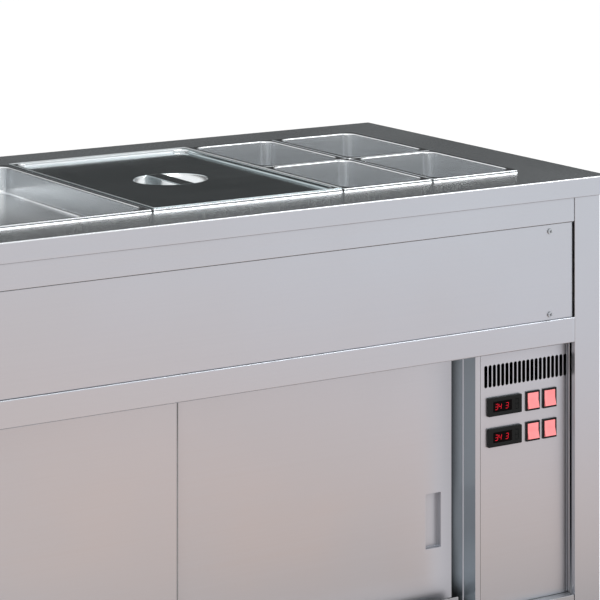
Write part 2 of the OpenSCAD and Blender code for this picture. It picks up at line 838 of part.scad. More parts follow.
// Levelling foot: threaded stem, taper and pad
module levelling_foot(sx, sy) {
    color(grey_plastic) translate([sx * leg_x, sy * leg_y, 0]) union() {
        cylinder(r = 27, h = 8);
        translate([0, 0, 8]) cylinder(r1 = 24, r2 = 17, h = 22);
        translate([0, 0, 30]) cylinder(r = 17, h = 8);
        translate([0, 0, 30]) cylinder(r = foot_stem_r, h = 74);
    }
}

// ---- Nodes ----

worktop();
mirror([1, 0, 0]) end_panel();  // end_panel_left
end_panel();  // end_panel_right
upper_rails();
fascia_panel();
fascia_screws();
mid_rail_front();
back_panel();
base_deck();
cupboard_liner();
cupboard_shelf();
partition_walls();
control_panel();
service_panel();
door_tracks();
well_tank();
well_insulation();
heating_elements();
pan_crossbars();
overflow_pipe();
drain_pipe();
temperature_probes();
fan_motor();
electrics();
power_cable();
controller_cases();
display_windows();
display_digits();
rocker_bezels();
leg_tubes();
door_left_skin();
door_left_liner();
door_right_skin();
door_right_liner();
door_roller(x_door_left, -1, y_door_left);  // roller_left_1
door_roller(x_door_left, 1, y_door_left);  // roller_left_2
door_roller(x_door_right, -1, y_door_right);  // roller_right_1
door_roller(x_door_right, 1, y_door_right);  // roller_right_2
full_pan(0, open_pan_depth);  // pan_full_1
full_pan(1, open_pan_depth);  // pan_full_2
full_pan(2, lidded_pan_depth);  // pan_full_3
quarter_pan(-1, -1);  // pan_quarter_1
quarter_pan(1, -1);  // pan_quarter_2
quarter_pan(-1, 1);  // pan_quarter_3
quarter_pan(1, 1);  // pan_quarter_4
lid();
rocker(0, 0);  // rocker_1
rocker(1, 0);  // rocker_2
rocker(0, 1);  // rocker_3
rocker(1, 1);  // rocker_4
controller_key(0, 1);  // key_upper_1
controller_key(0, -1);  // key_upper_2
controller_key(1, 1);  // key_lower_1
controller_key(1, -1);  // key_lower_2
drain_valve_handle();
fan_wheel();
levelling_foot(-1, -1);  // foot_front_left
levelling_foot(1, -1);  // foot_front_right
levelling_foot(-1, 1);  // foot_back_left
levelling_foot(1, 1);  // foot_back_right
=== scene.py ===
"""Heated serving counter: materials, pressed pans, lid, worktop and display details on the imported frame."""
import bpy
import json
import math
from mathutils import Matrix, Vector

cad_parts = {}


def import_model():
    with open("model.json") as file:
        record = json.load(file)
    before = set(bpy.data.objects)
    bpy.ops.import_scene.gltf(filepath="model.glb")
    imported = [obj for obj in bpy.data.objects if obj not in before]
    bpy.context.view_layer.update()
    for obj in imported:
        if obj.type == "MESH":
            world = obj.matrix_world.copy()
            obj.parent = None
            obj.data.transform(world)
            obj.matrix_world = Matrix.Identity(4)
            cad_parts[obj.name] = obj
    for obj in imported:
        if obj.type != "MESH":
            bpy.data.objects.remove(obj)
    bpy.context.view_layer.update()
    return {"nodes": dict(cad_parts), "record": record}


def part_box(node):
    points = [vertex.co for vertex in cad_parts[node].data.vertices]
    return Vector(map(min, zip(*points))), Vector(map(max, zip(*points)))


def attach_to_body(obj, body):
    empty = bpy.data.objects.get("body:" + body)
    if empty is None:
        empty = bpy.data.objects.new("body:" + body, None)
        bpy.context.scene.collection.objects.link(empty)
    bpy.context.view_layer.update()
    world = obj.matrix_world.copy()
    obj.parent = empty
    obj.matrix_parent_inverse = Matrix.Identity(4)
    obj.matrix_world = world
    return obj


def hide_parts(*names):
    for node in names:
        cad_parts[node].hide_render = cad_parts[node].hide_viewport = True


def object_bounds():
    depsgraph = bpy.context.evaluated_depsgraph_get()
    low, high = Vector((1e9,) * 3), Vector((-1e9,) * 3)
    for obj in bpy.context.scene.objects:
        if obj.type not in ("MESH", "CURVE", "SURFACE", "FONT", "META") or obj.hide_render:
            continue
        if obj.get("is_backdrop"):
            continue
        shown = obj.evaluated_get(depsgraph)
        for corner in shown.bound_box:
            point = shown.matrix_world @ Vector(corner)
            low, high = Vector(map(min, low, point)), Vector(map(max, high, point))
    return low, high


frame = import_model()
nodes = frame["nodes"]
MM = 0.001

# Sockets of a Mix node set to RGBA: factor, the two colours, and the result
MIX_FACTOR, MIX_A, MIX_B, MIX_RESULT = 0, 6, 7, 2


# ---- Node material helpers ----

def new_material(name):
    mat = bpy.data.materials.new(name)
    mat.use_nodes = True
    tree = mat.node_tree
    shader = next(n for n in tree.nodes if n.type == "BSDF_PRINCIPLED")
    return mat, tree, shader


def add(tree, kind, **settings):
    node = tree.nodes.new(kind)
    for key, value in settings.items():
        if key in node.inputs:
            node.inputs[key].default_value = value
        else:
            setattr(node, key, value)
    return node


def noise(tree, coords, scale, size=1.0, detail=3.0):
    """Noise over the row frame, stretched by scale (x, y, z)."""
    mapping = add(tree, "ShaderNodeMapping")
    mapping.inputs["Scale"].default_value = scale
    tree.links.new(coords, mapping.inputs["Vector"])
    tex = add(tree, "ShaderNodeTexNoise")
    tex.inputs["Scale"].default_value = size
    tex.inputs["Detail"].default_value = detail
    tree.links.new(mapping.outputs["Vector"], tex.inputs["Vector"])
    return tex.outputs["Fac"]


def spread(tree, value, low, high):
    """Maps noise from 0.3..0.7 to low..high."""
    node = add(tree, "ShaderNodeMapRange")
    node.inputs["From Min"].default_value = 0.3
    node.inputs["From Max"].default_value = 0.7
    node.inputs["To Min"].default_value = low
    node.inputs["To Max"].default_value = high
    tree.links.new(value, node.inputs["Value"])
    return node.outputs["Result"]


def maths(tree, operation, a, b):
    node = add(tree, "ShaderNodeMath", operation=operation)
    for socket, value in zip(node.inputs, (a, b)):
        if isinstance(value, (int, float)):
            socket.default_value = value
        else:
            tree.links.new(value, socket)
    return node.outputs[0]


def tinted(tree, factor, dark, light):
    node = add(tree, "ShaderNodeMix", data_type="RGBA")
    node.inputs[MIX_A].default_value = (*dark, 1)
    node.inputs[MIX_B].default_value = (*light, 1)
    tree.links.new(factor, node.inputs[MIX_FACTOR])
    return node.outputs[MIX_RESULT]


GRAIN = {"X": (1.5, 260, 260), "Y": (260, 1.5, 260), "Z": (260, 260, 1.5), None: (220, 220, 220)}


def painted_corner_shade(tree, reach, darkest, closed=0.25, clear=0.85):
    """Painted shade in corners and gaps: a base-colour factor from darkest deep inside to 1 in the open."""
    near = add(tree, "ShaderNodeAmbientOcclusion", samples=12)
    near.inputs["Distance"].default_value = reach
    ramp = add(tree, "ShaderNodeMapRange")
    for key, value in (("From Min", closed), ("From Max", clear), ("To Min", darkest), ("To Max", 1.0)):
        ramp.inputs[key].default_value = value
    tree.links.new(near.outputs["AO"], ramp.inputs["Value"])
    return ramp.outputs["Result"]


def scaled(tree, colour, factor):
    node = add(tree, "ShaderNodeVectorMath", operation="SCALE")
    tree.links.new(colour, node.inputs[0])
    tree.links.new(factor, node.inputs["Scale"])
    return node.outputs["Vector"]


def steel(name, tint, rough, along="X", grain=0.03, mottle=0.03, relief=0.03, shade=0.02, metal=1.0,
          reach=0.05, darkest=0.75, waviness=0.25, streaks=0.0, closed=0.25, clear=0.85):
    """Satin or polished stainless: drawn grain, faint smears, slight waviness, and painted shade darkening
    corners and gaps.
    """
    mat, tree, shader = new_material(name)
    coords = add(tree, "ShaderNodeTexCoord").outputs["Object"]
    lines = noise(tree, coords, GRAIN[along], 1.0, 3.0)
    smear = noise(tree, coords, (5, 5, 5), 1.0, 5.0)
    wave = noise(tree, coords, (2.2, 2.2, 2.2), 1.0, 1.0)
    dark = tuple(c * (1 - shade) for c in tint)
    light = tuple(min(1, c * (1 + shade)) for c in tint)
    colour = tinted(tree, spread(tree, lines, 0, 1), dark, light)
    # Painted shade: ambient occlusion darkens the base colour in corners and gaps.
    level = painted_corner_shade(tree, reach, darkest, closed, clear)
    if streaks:
        rubbed = noise(tree, coords, (4, 30, 30), 1.0, 4.0)
        crossed = noise(tree, coords, (22, 5, 22), 1.0, 4.0)
        along_x = spread(tree, rubbed, -streaks, streaks)
        along_y = spread(tree, crossed, -streaks, streaks)
        both = maths(tree, "ADD", along_x, along_y)
        level = maths(tree, "MULTIPLY", level, maths(tree, "ADD", both, 1.0))
    tree.links.new(scaled(tree, colour, level), shader.inputs["Base Color"])
    total = maths(tree, "ADD", spread(tree, lines, -grain, grain), spread(tree, smear, -mottle, mottle))
    tree.links.new(maths(tree, "ADD", total, rough), shader.inputs["Roughness"])
    fine = add(tree, "ShaderNodeBump")
    fine.inputs["Strength"].default_value = relief
    fine.inputs["Distance"].default_value = 0.00008
    tree.links.new(lines, fine.inputs["Height"])
    broad = add(tree, "ShaderNodeBump")
    broad.inputs["Strength"].default_value = waviness
    broad.inputs["Distance"].default_value = 0.0012
    tree.links.new(wave, broad.inputs["Height"])
    tree.links.new(fine.outputs["Normal"], broad.inputs["Normal"])
    tree.links.new(broad.outputs["Normal"], shader.inputs["Normal"])
    shader.inputs["Metallic"].default_value = metal
    return mat


def reveal_painted_glow(mat, front_tint):
    """Inner wall beside a door: front edges match the cabinet, and the wall glows for glossy rays, a painted
    reflection, so the door's sheet mirrors the wall as lit, as with a fill card beside it."""
    tree = mat.node_tree
    out = next(n for n in tree.nodes if n.type == "OUTPUT_MATERIAL")
    shader = next(n for n in tree.nodes if n.type == "BSDF_PRINCIPLED")
    geometry = add(tree, "ShaderNodeNewGeometry")
    normal = add(tree, "ShaderNodeSeparateXYZ")
    tree.links.new(geometry.outputs["Normal"], normal.inputs[0])
    faces_front = maths(tree, "LESS_THAN", normal.outputs["Y"], -0.5)
    blend = add(tree, "ShaderNodeMix", data_type="RGBA")
    tree.links.new(faces_front, blend.inputs[MIX_FACTOR])
    tree.links.new(shader.inputs["Base Color"].links[0].from_socket, blend.inputs[MIX_A])
    blend.inputs[MIX_B].default_value = (*front_tint, 1)
    tree.links.new(blend.outputs[MIX_RESULT], shader.inputs["Base Color"])
    position = add(tree, "ShaderNodeSeparateXYZ")
    tree.links.new(geometry.outputs["Position"], position.inputs[0])
    inward = maths(tree, "MULTIPLY", normal.outputs["X"], position.outputs["X"])
    inside = maths(tree, "LESS_THAN", inward, -0.25)
    # Painted light: the wall's inner faces glow for glossy rays only.
    path = add(tree, "ShaderNodeLightPath")
    glow = add(tree, "ShaderNodeEmission")
    glow.inputs["Color"].default_value = (0.93, 0.89, 0.90, 1)
    glow.inputs["Strength"].default_value = 0.84
    mix = add(tree, "ShaderNodeMixShader")
    tree.links.new(maths(tree, "MULTIPLY", path.outputs["Is Glossy Ray"], inside), mix.inputs[0])
    tree.links.new(shader.outputs[0], mix.inputs[1])
    tree.links.new(glow.outputs[0], mix.inputs[2])
    tree.links.new(mix.outputs[0], out.inputs["Surface"])


def plastic(name, colour, rough, texture=0.15, light=None, strength=0.0, scale=900, gloss=0.5):
    """Moulded plastic with a fine spark-eroded texture, or smooth where texture is small."""
    mat, tree, shader = new_material(name)
    coords = add(tree, "ShaderNodeTexCoord").outputs["Object"]
    pebble = noise(tree, coords, (scale, scale, scale), 1.0, 2.0)
    patch = noise(tree, coords, (40, 40, 40), 1.0, 3.0)
    dark = tuple(c * 0.88 for c in colour)
    pale = tuple(min(1, c * 1.1) for c in colour)
    tree.links.new(tinted(tree, spread(tree, patch, 0, 1), dark, pale), shader.inputs["Base Color"])
    tree.links.new(maths(tree, "ADD", spread(tree, patch, -0.05, 0.05), rough), shader.inputs["Roughness"])
    bump = add(tree, "ShaderNodeBump")
    bump.inputs["Strength"].default_value = texture
    bump.inputs["Distance"].default_value = 0.0001
    tree.links.new(pebble, bump.inputs["Height"])
    tree.links.new(bump.outputs["Normal"], shader.inputs["Normal"])
    shader.inputs["Specular IOR Level"].default_value = gloss
    if light:
        shader.inputs["Emission Color"].default_value = (*light, 1)
        shader.inputs["Emission Strength"].default_value = strength
    return mat


def wool(name):
    """Yellow-grey mineral wool with a fibrous surface."""
    mat, tree, shader = new_material(name)
    coords = add(tree, "ShaderNodeTexCoord").outputs["Object"]
    fibre = noise(tree, coords, (90, 400, 400), 1.0, 6.0)
    tree.links.new(tinted(tree, spread(tree, fibre, 0, 1), (0.50, 0.44, 0.26), (0.78, 0.72, 0.50)),
                   shader.inputs["Base Color"])
    bump = add(tree, "ShaderNodeBump")
    bump.inputs["Strength"].default_value = 0.6
    bump.inputs["Distance"].default_value = 0.001
    tree.links.new(fibre, bump.inputs["Height"])
    tree.links.new(bump.outputs["Normal"], shader.inputs["Normal"])
    shader.inputs["Roughness"].default_value = 0.95
    return mat


def heat_tinted(name):
    """Steel sheath that has run hot: brown and straw patches."""
    mat, tree, shader = new_material(name)
    coords = add(tree, "ShaderNodeTexCoord").outputs["Object"]
    patch = noise(tree, coords, (24, 24, 24), 1.0, 5.0)
    tree.links.new(tinted(tree, spread(tree, patch, 0, 1), (0.16, 0.12, 0.10), (0.44, 0.38, 0.32)),
                   shader.inputs["Base Color"])
    tree.links.new(spread(tree, patch, 0.35, 0.6), shader.inputs["Roughness"])
    shader.inputs["Metallic"].default_value = 1.0
    return mat


def painted_glow_in_reflections(mat, colour, strength):
    """Painted reflection: this part glows for glossy rays, so the polished parts beside it mirror it as
    strongly lit.
    """
    tree = mat.node_tree
    out = next(n for n in tree.nodes if n.type == "OUTPUT_MATERIAL")
    shader = next(n for n in tree.nodes if n.type == "BSDF_PRINCIPLED")
    path = add(tree, "ShaderNodeLightPath")
    glow = add(tree, "ShaderNodeEmission")
    glow.inputs["Color"].default_value = (*colour, 1)
    glow.inputs["Strength"].default_value = strength
    mix = add(tree, "ShaderNodeMixShader")
    tree.links.new(path.outputs["Is Glossy Ray"], mix.inputs[0])
    tree.links.new(shader.outputs[0], mix.inputs[1])
    tree.links.new(glow.outputs[0], mix.inputs[2])
    tree.links.new(mix.outputs[0], out.inputs["Surface"])


def painted_slot_shade(mat):
    """Punched slots and openings: painted shade, faces not facing front or back, such as the slot walls, are
    coloured near black.
    """
    tree = mat.node_tree
    shader = next(n for n in tree.nodes if n.type == "BSDF_PRINCIPLED")
    normal = add(tree, "ShaderNodeSeparateXYZ")
    tree.links.new(add(tree, "ShaderNodeNewGeometry").outputs["True Normal"], normal.inputs[0])
    face = maths(tree, "GREATER_THAN", maths(tree, "ABSOLUTE", normal.outputs["Y"], 0), 0.7)
    blend = add(tree, "ShaderNodeMix", data_type="RGBA")
    tree.links.new(face, blend.inputs[MIX_FACTOR])
    # Painted shade colour for the slot walls.
    blend.inputs[MIX_A].default_value = (0.02, 0.02, 0.02, 1)
    tree.links.new(shader.inputs["Base Color"].links[0].from_socket, blend.inputs[MIX_B])
    tree.links.new(blend.outputs[MIX_RESULT], shader.inputs["Base Color"])


# Every steel below darkens its base colour in corners and gaps as painted shade; reach and darkest set how
# far and how dark.
CABINET = (0.61, 0.625, 0.665)
cabinet = steel("cabinet_satin", CABINET, 0.34, "X", grain=0.02, relief=0.02, shade=0.009)
post = steel("post_satin", CABINET, 0.34, "Z", grain=0.02, relief=0.02, shade=0.009)
inner = steel("inner_satin", (0.56, 0.57, 0.59), 0.42, "X", mottle=0.05, shade=0.04)
# Painted shade: the inner walls beside the doors are a darker copy of the cabinet steel, nearly black in
# their corners.
reveal_shaded = steel("reveal_painted_shade", (0.40, 0.46, 0.50), 0.38, "Z", reach=0.05, darkest=0.05,
               closed=0.45, clear=0.8)
# Painted shade: strong darkening in the worktop's seams and tight corners.
top_steel = steel("worktop_satin", (0.55, 0.575, 0.59), 0.24, None, grain=0.02, mottle=0.01, relief=0.012,
                  shade=0.06, reach=0.004, darkest=0.3)
# Painted highlight: the worktop's rolled front fold is a much lighter copy of the worktop steel.
fold_highlight = steel("fold_painted_highlight", (0.93, 0.94, 0.96), 0.22, None, mottle=0.02, relief=0.0, shade=0.01)
# Painted highlight: the pan's outer lip is a lighter copy of the pan steel and glows in reflections.
pan_lip_glow = steel("pan_lip_painted_highlight", (0.90, 0.91, 0.92), 0.18, None, grain=0, mottle=0, relief=0, shade=0)
painted_glow_in_reflections(pan_lip_glow, (0.97, 0.99, 1.0), 5.0)
# Painted shade: the pan rim steel goes nearly black where pans and worktop meet.
pan_steel = steel("pan_rim_bright", (0.56, 0.59, 0.61), 0.14, None, grain=0, mottle=0.01, relief=0, shade=0,
                  reach=0.006, darkest=0.1)
# Painted highlight: the rolled mouth of each pan is a near-white copy of the pan steel.
pan_mouth_highlight = steel("pan_mouth_painted_highlight", (0.95, 0.96, 0.97), 0.16, None, grain=0, mottle=0, relief=0, shade=0,
                  reach=0.004, darkest=0.8)
pan_inside = steel("pan_satin", (0.74, 0.76, 0.775), 0.24, None, grain=0, mottle=0.03,
                   relief=0, shade=0, metal=0.92, reach=0.03, darkest=0.8)
# Painted shade: the full-size pans' inside is a darker copy of the quarter pans' satin steel.
pan_full_inside_shaded = steel("pan_satin_wide", (0.62, 0.64, 0.655), 0.24, None, grain=0, mottle=0.03,
                        relief=0, shade=0, metal=0.92, reach=0.03, darkest=0.8)
# Painted reflection: the rounded wall corners of each pan are a near-white copy of the pan steel.
pan_corner_highlight = steel("pan_corner_painted_reflection", (0.97, 0.98, 0.99), 0.22, None, grain=0, mottle=0.01,
                   relief=0, shade=0, reach=0.02, darkest=0.9)
# Painted highlight: the lid's bead and step are a lighter copy of the lid steel.
lid_highlight = steel("lid_edge_painted_highlight", (0.70, 0.725, 0.735), 0.30, None, grain=0, mottle=0.01,
                   relief=0, shade=0, reach=0.003, darkest=0.6)
# Painted highlight: the floor bend of each pan is a bright copy of the pan steel.
pan_bend_highlight = steel("pan_bend_painted_highlight", (0.92, 0.93, 0.95), 0.20, None, grain=0, mottle=0.01, relief=0, shade=0,
                 reach=0.02, darkest=0.9)
lid_steel = steel("lid_mirror", (0.60, 0.67, 0.69), 0.13, None, grain=0, mottle=0.02, relief=0,
                  shade=0.01, reach=0.004, darkest=0.3, streaks=0.08)
foot_steel = steel("foot_satin", (0.55, 0.56, 0.58), 0.30, None, mottle=0.05)
# Painted shade: the screw's cross recess and edges go nearly black.
screw_steel = steel("screw_bright", (0.55, 0.56, 0.58), 0.22, None, reach=0.005, darkest=0.02, clear=1.0)
fan_metal = steel("fan_aluminium", (0.72, 0.73, 0.74), 0.38, None, mottle=0.06, shade=0.04)
bowl_steel = steel("lid_recess_satin", (0.86, 0.88, 0.89), 0.24, None, metal=0.85, reach=0.02, darkest=0.7)
# Painted shade: dark grey for the strip on the front door's edge.
door_strip_shade = plastic("door_strip_painted_shade", (0.19, 0.185, 0.185), 0.5, 0.1, gloss=0.2)
reveal_painted_glow(reveal_shaded, CABINET)
punched = steel("punched_satin", CABINET, 0.34, "X", grain=0.02, relief=0.02, shade=0.009)
painted_slot_shade(punched)

by_slot = {
    "worktop_steel": top_steel,
    "cabinet_steel": cabinet,
    "inner_steel": inner,
    "pan_steel": pan_steel,
    "lid_steel": lid_steel,
    "screw_steel": screw_steel,
    "mineral_wool": wool("mineral_wool"),
    "heater_sheath": heat_tinted("heater_sheath"),
    "motor_housing": plastic("motor_paint", (0.05, 0.05, 0.055), 0.45, 0.3),
    "electrics_housing": plastic("electrics_grey", (0.42, 0.43, 0.44), 0.45, 0.2),
    "cable_sheath": plastic("cable_rubber", (0.018, 0.018, 0.02), 0.55, 0.25),
    "black_plastic": plastic("black_moulding", (0.006, 0.007, 0.007), 0.42, 0.15, gloss=0.16),
    "display_window": plastic("window_black", (0.002, 0.001, 0.001), 0.10, 0.0, gloss=0.05),
    "display_light": plastic("lit_bars", (0.3, 0.004, 0.01), 0.3, 0.0, (0.62, 0.008, 0.022), 1.0, gloss=0.1),
    "switch_red": plastic("switch_salmon", (0.84, 0.24, 0.245), 0.25, 0.04, (1.0, 0.25, 0.25), 0.10,
                          gloss=0.3),
    "roller_nylon": plastic("roller_nylon", (0.62, 0.62, 0.60), 0.40, 0.1),
    "foot_steel": foot_steel,
    "fan_aluminium": fan_metal,
}
slot_of = {s["node"]: s["material_slot"] for s in frame["record"]["subparts"]}


def bevel(obj, width, segments=2, angle=35):
    """Softens the folds and edges of a CAD node."""
    weld = obj.modifiers.new("weld", "WELD")
    weld.merge_threshold = 0.00001
    mod = obj.modifiers.new("edge", "BEVEL")
    mod.width = width
    mod.segments = segments
    mod.limit_method = "ANGLE"
    mod.angle_limit = math.radians(angle)


UNBEVELLED = (
    "heating_elements", "well_insulation", "control_panel", "service_panel", "partition_walls")
widths = {
    "controller_cases": 1.1, "rocker_bezels": 0.35, "fascia_screws": 0.45, "electrics": 1.0,
    "drain_valve_handle": 1.2, "display_windows": 0.2, "power_cable": 0.6, "fan_motor": 1.5,
}
for name, obj in nodes.items():
    material = by_slot[slot_of[name]]
    if name.startswith("end_panel"):
        material = post
    if name == "partition_walls":
        material = reveal_shaded
    if name in ("control_panel", "service_panel"):
        material = punched
    if not obj.material_slots:
        obj.data.materials.append(None)
    for slot in obj.material_slots:
        slot.link = "OBJECT"
        slot.material = material
    width = widths.get(name, 0.6)
    if name.startswith("rocker_") and name != "rocker_bezels":
        width = 0.7
    if name.startswith("foot_"):
        width = 1.4
    if name.startswith("key_"):
        width = 0.5
    if name not in UNBEVELLED:
        bevel(obj, width * MM)


# ---- Mesh helpers ----

ARC_STEPS = 10


def ring(half_w, half_l, r, z, centre=(0, 0), n=ARC_STEPS):
    """Points round a rounded rectangle in millimetres, anticlockwise seen from above."""
    r = max(0.01, min(r, half_w, half_l))
    points = []
    for k, (sx, sy) in enumerate(((1, -1), (1, 1), (-1, 1), (-1, -1))):
        for i in range(n + 1):
            a = math.radians(90 * (k - 1) + 90 * i / n)
            x = centre[0] + sx * (half_w - r) + r * math.cos(a)
            y = centre[1] + sy * (half_l - r) + r * math.sin(a)
            points.append((x, y, z))
    return points


def circle(r, z, centre, count):
    turn = 2 * math.pi / count
    return [(centre[0] + r * math.cos(turn * (i + 0.5) - math.pi / 2),
             centre[1] + r * math.sin(turn * (i + 0.5) - math.pi / 2), z) for i in range(count)]


def mesh_object(name, points, faces, *materials):
    """Object at the origin from points in millimetres."""
    mesh = bpy.data.meshes.new(name)
    mesh.from_pydata([Vector(p) * MM for p in points], [], faces)
    mesh.polygons.foreach_set("use_smooth", [True] * len(mesh.polygons))
    for material in materials:
        mesh.materials.append(material)
    obj = bpy.data.objects.new(name, mesh)
    bpy.context.scene.collection.objects.link(obj)
    return obj


def as_sheet(obj, thickness, offset=-1):
    """Gives an open skin its sheet thickness, with shading that keeps the flats flat."""
    solid = obj.modifiers.new("sheet", "SOLIDIFY")
    solid.thickness = thickness * MM
    solid.offset = offset
    normals = obj.modifiers.new("normals", "WEIGHTED_NORMAL")
    normals.keep_sharp = True
    normals.weight = 80


def loft(name, rings, thickness, *materials, cap=True, bands=()):
    """Sheet over closed rings of equal length; each band starts the next material at a ring."""
    count = len(rings[0])
    points = [p for r in rings for p in r]
    faces = []
    for a in range(len(rings) - 1):
        for i in range(count):
            j = (i + 1) % count
            faces.append((a * count + i, a * count + j, (a + 1) * count + j, (a + 1) * count + i))
    if cap:
        faces.append([(len(rings) - 1) * count + i for i in range(count)])
    obj = mesh_object(name, points, faces, *materials)
    for poly in obj.data.polygons:
        poly.material_index = sum(poly.index // count >= start for start in bands)
    as_sheet(obj, thickness)
    return obj


def arc(r, start, end, steps):
    """(cos, sin) pairs times r from start to end degrees."""
    out = []
    for i in range(steps + 1):
        a = math.radians(start + (end - start) * i / steps)
        out.append((r * math.cos(a), r * math.sin(a)))
    return out


def attach(obj, body, slot, *stands_for):
    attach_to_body(obj, body)
    if stands_for:
        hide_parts(*stands_for)


# ---- Food pans ----

PRESSED_T = 0.9
RIM_SIDE = 9.5
RIM_END = 9
FULL_CORNER = 24
QUARTER_CORNER = 20


def plan(node):
    """Centre and half sizes of a node in millimetres, seen from above."""
    low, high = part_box(node)
    centre = ((low[0] + high[0]) / 2 / MM, (low[1] + high[1]) / 2 / MM)
    return centre, (high[0] - low[0]) / 2 / MM, (high[1] - low[1]) / 2 / MM


def pan_shape(node, corner, floor_r):
    """Pressed pan: rolled outer lip, flat rim, rolled mouth, drafted wall, dished corners and floor."""
    centre, hw, hl = plan(node)
    low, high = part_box(node)
    z_rim, z_floor = high[2] / MM, low[2] / MM + 1
    z_lip = z_rim - 3.1
    rings = []

    def put(off_x, off_y, r, z):
        rings.append(ring(hw - off_x, hl - off_y, r, z, centre))

    roll = 1.9
    put(0.35, 0.35, 5, z_lip)
    put(0, 0, 5, z_lip + 0.55)
    for c, s in arc(roll, 0, 90, 6):
        put(roll - c, roll - c, 5 - (roll - c) * 0.5, z_rim - roll + s)
    rim_from = len(rings) - 3
    mouth = 2.2
    for t in (0.3, 0.7, 0.95):
        put(roll + t * (RIM_SIDE - mouth - roll), roll + t * (RIM_END - mouth - roll),
            4 + t * (corner + mouth - 4), z_rim - 0.2 * math.sin(math.pi * t))
    mouth_from = len(rings)
    for c, s in arc(mouth, 90, 0, 6):
        put(RIM_SIDE - mouth + c, RIM_END - mouth + c, corner + mouth - c, z_rim - mouth + s)
    inside_from = len(rings) - 2
    depth = z_rim - mouth - z_floor - floor_r
    draft = 0.03
    for t in (0.12, 0.5, 0.88, 1.0):
        d = t * depth
        put(RIM_SIDE + d * draft, RIM_END + d * draft, corner - d * draft, z_rim - mouth - d)
    bend_from = len(rings) + 3
    off = depth * draft
    for c, s in arc(floor_r, 8, 90, 7):
        put(RIM_SIDE + off + floor_r - c, RIM_END + off + floor_r - c, max(4, corner - off - floor_r + c),
            z_floor + floor_r - s)
    inset = floor_r + off + 8
    put(RIM_SIDE + inset, RIM_END + inset, max(3, corner - inset), z_floor)
    inside = pan_full_inside_shaded if "full" in node else pan_inside
    obj = loft(node + "_pressing", rings, PRESSED_T, pan_steel, pan_lip_glow, pan_steel, pan_mouth_highlight,
               inside, pan_bend_highlight, inside, pan_corner_highlight,
               bands=(1, rim_from, mouth_from, inside_from, bend_from, bend_from + 3))
    # Painted highlights: side-facing lip faces take the plain rim steel, so only the front and back lip stays
    # bright; wall corner faces take the bright corner steel.
    underside, lip, wall, wall_corner = 0, 1, 4, 7
    for poly in obj.data.polygons:
        if poly.material_index == lip and abs(poly.normal.x) > abs(poly.normal.y):
            poly.material_index = underside
        if poly.material_index == wall and poly.index < (bend_from + 2) * len(rings[0]):
            if 2 <= poly.index % (ARC_STEPS + 1) <= 7:
                poly.material_index = wall_corner
    attach(obj, node, "pan_steel", node)


for i in (1, 2, 3):
    pan_shape("pan_full_%d" % i, FULL_CORNER, 6)
for i in (1, 2, 3, 4):
    pan_shape("pan_quarter_%d" % i, QUARTER_CORNER, 9)


# ---- Lid ----

LID_STEP = 5
BOWL_R = 60
BOWL_DEPTH = 17
STRAP_W = 26


def lid_shape():
    """Bead round the edge, flat rim, step down to the panel, and the round hand recess."""
    centre, hw, hl = plan("lid")
    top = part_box("lid")[1][2] / MM
    bead, flat = 0.8, top - 0.8
    panel = flat - LID_STEP
    rings = [ring(hw, hl, 5, flat - 0.8, centre)]
    for c, s in arc(bead, 0, 90, 4):
        rings.append(ring(hw - bead + c, hl - bead + c, 5 - bead + c, top - bead + s, centre))
    bead_top = len(rings) - 1
    rings.append(ring(hw - 3, hl - 3, 4, top, centre))
    rings.append(ring(hw - 3.8, hl - 3.8, 4, flat + 0.2, centre))
    rings.append(ring(hw - 4.4, hl - 4.4, 4.5, flat, centre))
    edge, corner = 7.5, 18
    flat_from = len(rings) - 1
    rings.append(ring(hw - edge, hl - edge, corner, flat, centre))
    step_from = len(rings) - 1
    convex, concave, slope = 1.2, 2.2, 80
    turn = math.radians(slope)
    for c, s in arc(convex, 90, 90 - slope, 4):
        rings.append(ring(hw - edge - c, hl - edge - c, corner - c, flat - convex + s, centre))
    fall = LID_STEP - (convex + concave) * (1 - math.cos(turn))
    start = edge + convex * math.sin(turn) + fall / math.tan(turn)
    foot = start + concave * math.sin(turn)
    for i in range(7):
        a = turn * (1 - i / 6)
        inset = foot - concave * math.sin(a)
        height = panel + concave * (1 - math.cos(a))
        rings.append(ring(hw - inset, hl - inset, corner - inset + edge, height, centre))
    panel_from = len(rings) - 1
    count = len(rings[0])
    roll = 1.6
    rings.append(circle(BOWL_R + 6, panel, centre, count))
    for c, s in arc(roll, 90, 0, 4):
        rings.append(circle(BOWL_R - c, panel - roll + s, centre, count))
    first = len(rings) - 3
    inside = BOWL_R - roll
    for i in range(1, 10):
        a = math.radians(9 * i)
        rings.append(circle(inside * math.cos(a), panel - roll - BOWL_DEPTH * math.sin(a), centre, count))
    rings.append(circle(2, panel - roll - BOWL_DEPTH, centre, count))
    obj = loft("lid_pressing", rings, PRESSED_T, lid_steel, lid_highlight, lid_steel, lid_highlight,
               lid_steel, bowl_steel, bands=(bead_top, flat_from, step_from, panel_from, first))
    # Painted highlight: side-facing step faces take the plain lid steel, so only the front and back of the
    # step stays bright.
    step_face, panel_face = 3, 4
    for poly in obj.data.polygons:
        if poly.material_index == step_face and abs(poly.normal.x) > abs(poly.normal.y):
            poly.material_index = panel_face
    attach(obj, "lid", "lid_steel", "lid")
    half, drop = STRAP_W / 2, 1.6
    section = [(-half, -drop)] + [(-half + 1 - c, -1 + s) for c, s in arc(1, 0, 90, 4)]
    section += [(0, 0.03)] + [(half - 1 + c, -1 + s) for c, s in arc(1, 90, 0, 4)] + [(half, -drop)]
    spans = (-BOWL_R - 1, -BOWL_R + 12, 0, BOWL_R - 12, BOWL_R + 1)
    strap = extruded("lid_strap", section, [centre[1] + y for y in spans], "Y", lid_steel,
                     origin=(centre[0], panel + 0.05))
    as_sheet(strap, 0.8)
    attach(strap, "lid", "lid_steel", "lid")


